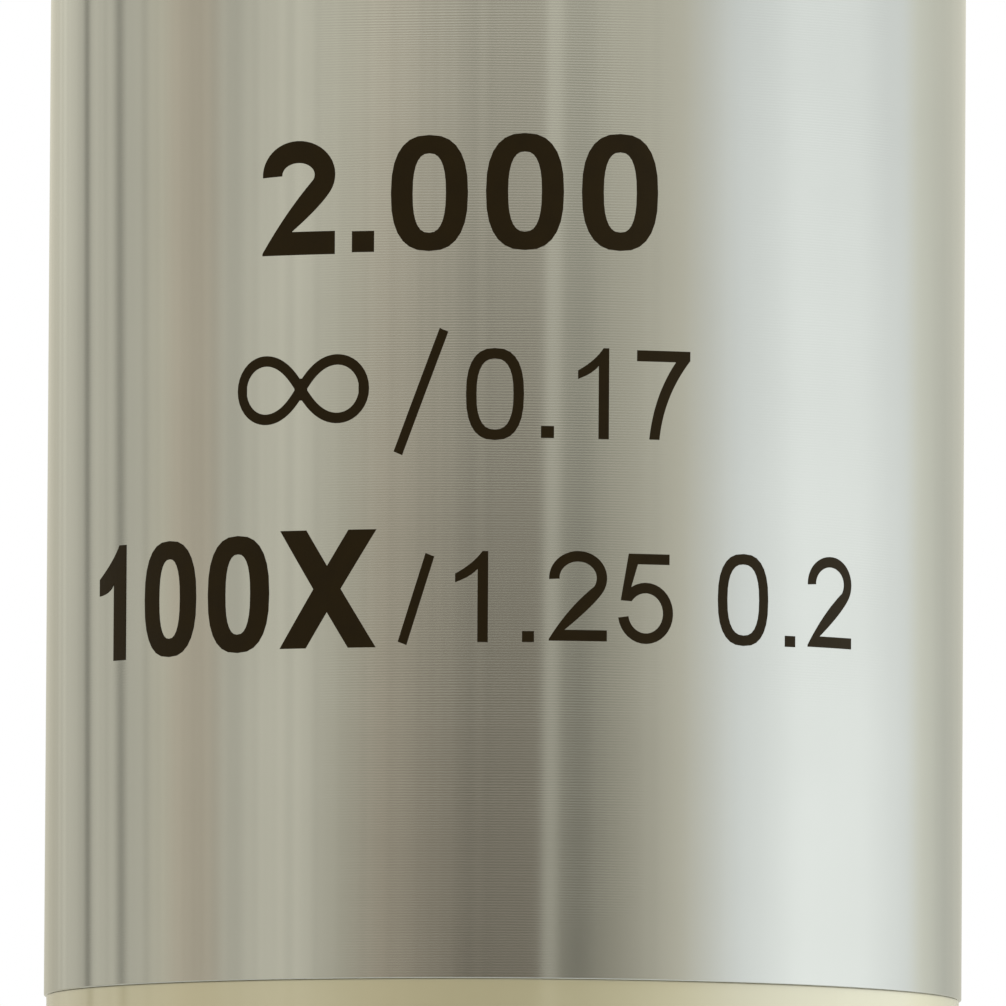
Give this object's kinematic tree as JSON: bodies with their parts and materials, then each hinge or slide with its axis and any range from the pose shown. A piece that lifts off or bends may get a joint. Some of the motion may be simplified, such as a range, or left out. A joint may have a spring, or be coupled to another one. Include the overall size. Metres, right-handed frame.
{
  "type": "microscope objective",
  "caption": "Oil immersion microscope objective with a rear mounting thread, knurled grip, plain satin barrel with figures, cream ring, tapered cap and a spring-loaded nose.",
  "frame": {"origin": "centre of the shoulder face that seats against the nosepiece, on the optical axis", "axes": "+Z along the optical axis towards the mounting thread, so the front lens points down at -Z; the figures on the barrel face -Y"},
  "size_m": [0.024, 0.024, 0.0496],
  "materials": {
    "satin_chrome": "satin chrome plate over turned brass, fine turning lines",
    "bright_brass": "turned brass, unplated",
    "blackened_brass": "blackened brass, matt",
    "cream_enamel": "glossy cream enamel",
    "black_enamel": "glossy black enamel",
    "spring_steel": "drawn spring wire",
    "screw_steel": "turned steel",
    "optical_glass": "polished, coated"
  },
  "bodies": {
    "casing": {"mount_ring": "satin_chrome", "guide_tube": "bright_brass", "marked_sleeve": "satin_chrome", "colour_ring": "cream_enamel", "nose_cap": "satin_chrome", "spring_retaining_ring": "blackened_brass", "coil_spring": "spring_steel", "guide_screw": "screw_steel"},
    "nose": {"lens_barrel": "satin_chrome", "immersion_ring": "black_enamel", "front_cell": "satin_chrome", "front_lens": "optical_glass", "meniscus_cell": "bright_brass", "meniscus_lens": "optical_glass", "doublet_cell": "bright_brass", "doublet_crown": "optical_glass", "doublet_flint": "optical_glass", "lower_spacer": "blackened_brass", "triplet_cell": "bright_brass", "triplet_front": "optical_glass", "triplet_middle": "optical_glass", "triplet_rear": "optical_glass", "centring_screws": "screw_steel", "upper_spacer": "blackened_brass", "aperture_stop": "blackened_brass", "rear_cell": "bright_brass", "rear_flint": "optical_glass", "rear_crown": "optical_glass", "lens_retaining_ring": "blackened_brass"}
  },
  "joints": [
    {"name": "nose_retract", "type": "slide", "parent": "casing", "child": "nose", "axis": [0, 0, 1], "range_m": [0, 0.002], "stiffness_N_per_m": 300, "springref_m": -0.005, "deforming": ["coil_spring"]}
  ]
}
